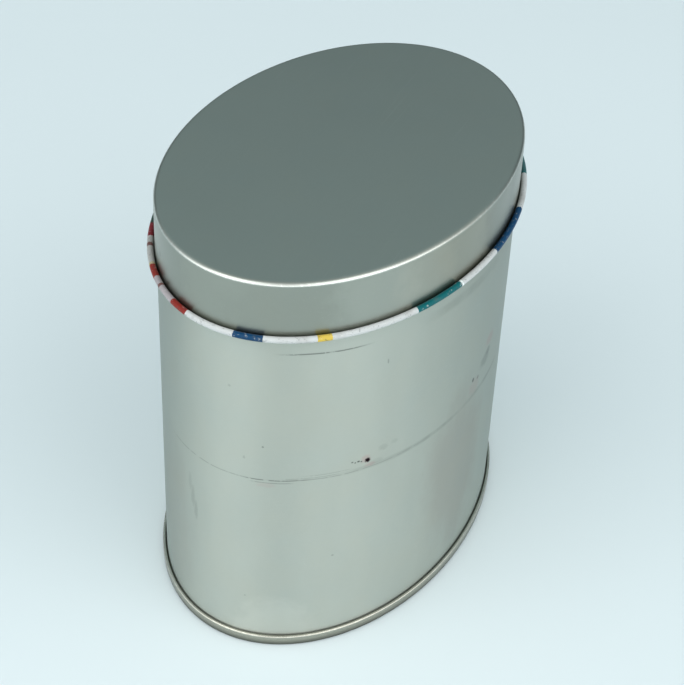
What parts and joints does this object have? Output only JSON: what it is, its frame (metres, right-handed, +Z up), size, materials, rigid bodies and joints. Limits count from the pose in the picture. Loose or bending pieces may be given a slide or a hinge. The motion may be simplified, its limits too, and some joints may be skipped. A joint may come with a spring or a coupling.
{
  "type": "oval slip-lid tin",
  "caption": "Oval bare tinplate box with a lift-off slip lid, rolled lid edge, hooked side seam and double-seamed recessed base.",
  "frame": {"origin": "centre of the oval on the plane that the foot seam stands on", "axes": "+X along the oval's long axis, +Y across it towards the side seam at the back, +Z up through the lid"},
  "size_m": [0.1338, 0.0876, 0.1115],
  "materials": {
    "lid_tinplate": "satin bare tinplate outside, printed white and coloured bands inside and on the rolled edge",
    "body_tinplate": "satin bare tinplate with light handling marks",
    "base_tinplate": "satin bare tinplate"
  },
  "bodies": {
    "tin": {"body_wall": "body_tinplate", "bottom_end": "base_tinplate"},
    "lid": {"lid": "lid_tinplate"}
  },
  "joints": [
    {"name": "lid_lift", "type": "slide", "parent": "tin", "child": "lid", "axis": [0, 0, 1], "range_m": [0, 0.045]}
  ]
}
